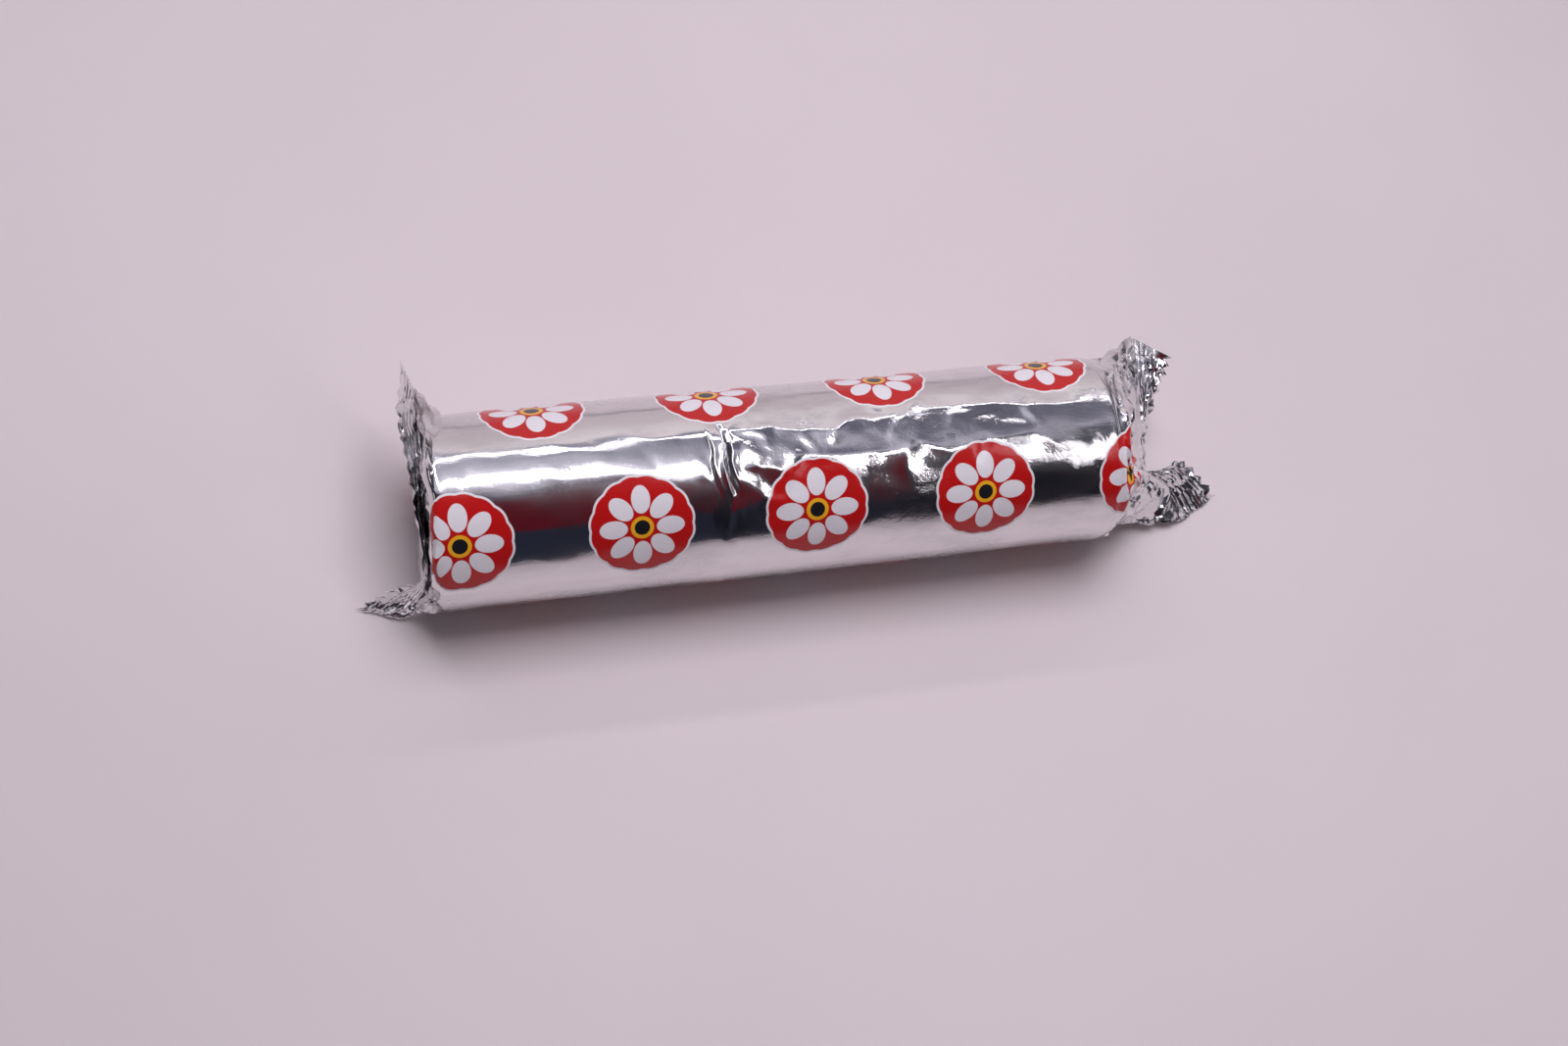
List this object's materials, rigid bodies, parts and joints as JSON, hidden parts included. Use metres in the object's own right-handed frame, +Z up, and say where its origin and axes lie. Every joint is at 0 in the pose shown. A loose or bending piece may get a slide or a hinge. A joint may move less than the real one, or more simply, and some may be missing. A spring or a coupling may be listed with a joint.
{
  "type": "wrapped roll of charcoal tablets",
  "caption": "Round roll of pressed charcoal tablets sealed in printed mirror-bright film, with a folded seam underneath and crimped saw-toothed ends.",
  "frame": {"origin": "centre of the flat underside of the folded lengthwise seam, midway along the round body", "axes": "+X along the roll towards its longer end, +Y to the back, where the end seals' upper corners point, +Z up"},
  "size_m": [0.2005, 0.0517, 0.0424],
  "materials": {
    "metallised_film": "mirror-bright metallised film, printed with red and white discs",
    "pressed_charcoal": "matt black pressed charcoal"
  },
  "bodies": {
    "root": {"wrapper": "metallised_film", "tablet_01": "pressed_charcoal", "tablet_02": "pressed_charcoal", "tablet_03": "pressed_charcoal", "tablet_04": "pressed_charcoal", "tablet_05": "pressed_charcoal", "tablet_06": "pressed_charcoal", "tablet_07": "pressed_charcoal", "tablet_08": "pressed_charcoal", "tablet_09": "pressed_charcoal", "tablet_10": "pressed_charcoal"}
  },
  "joints": []
}
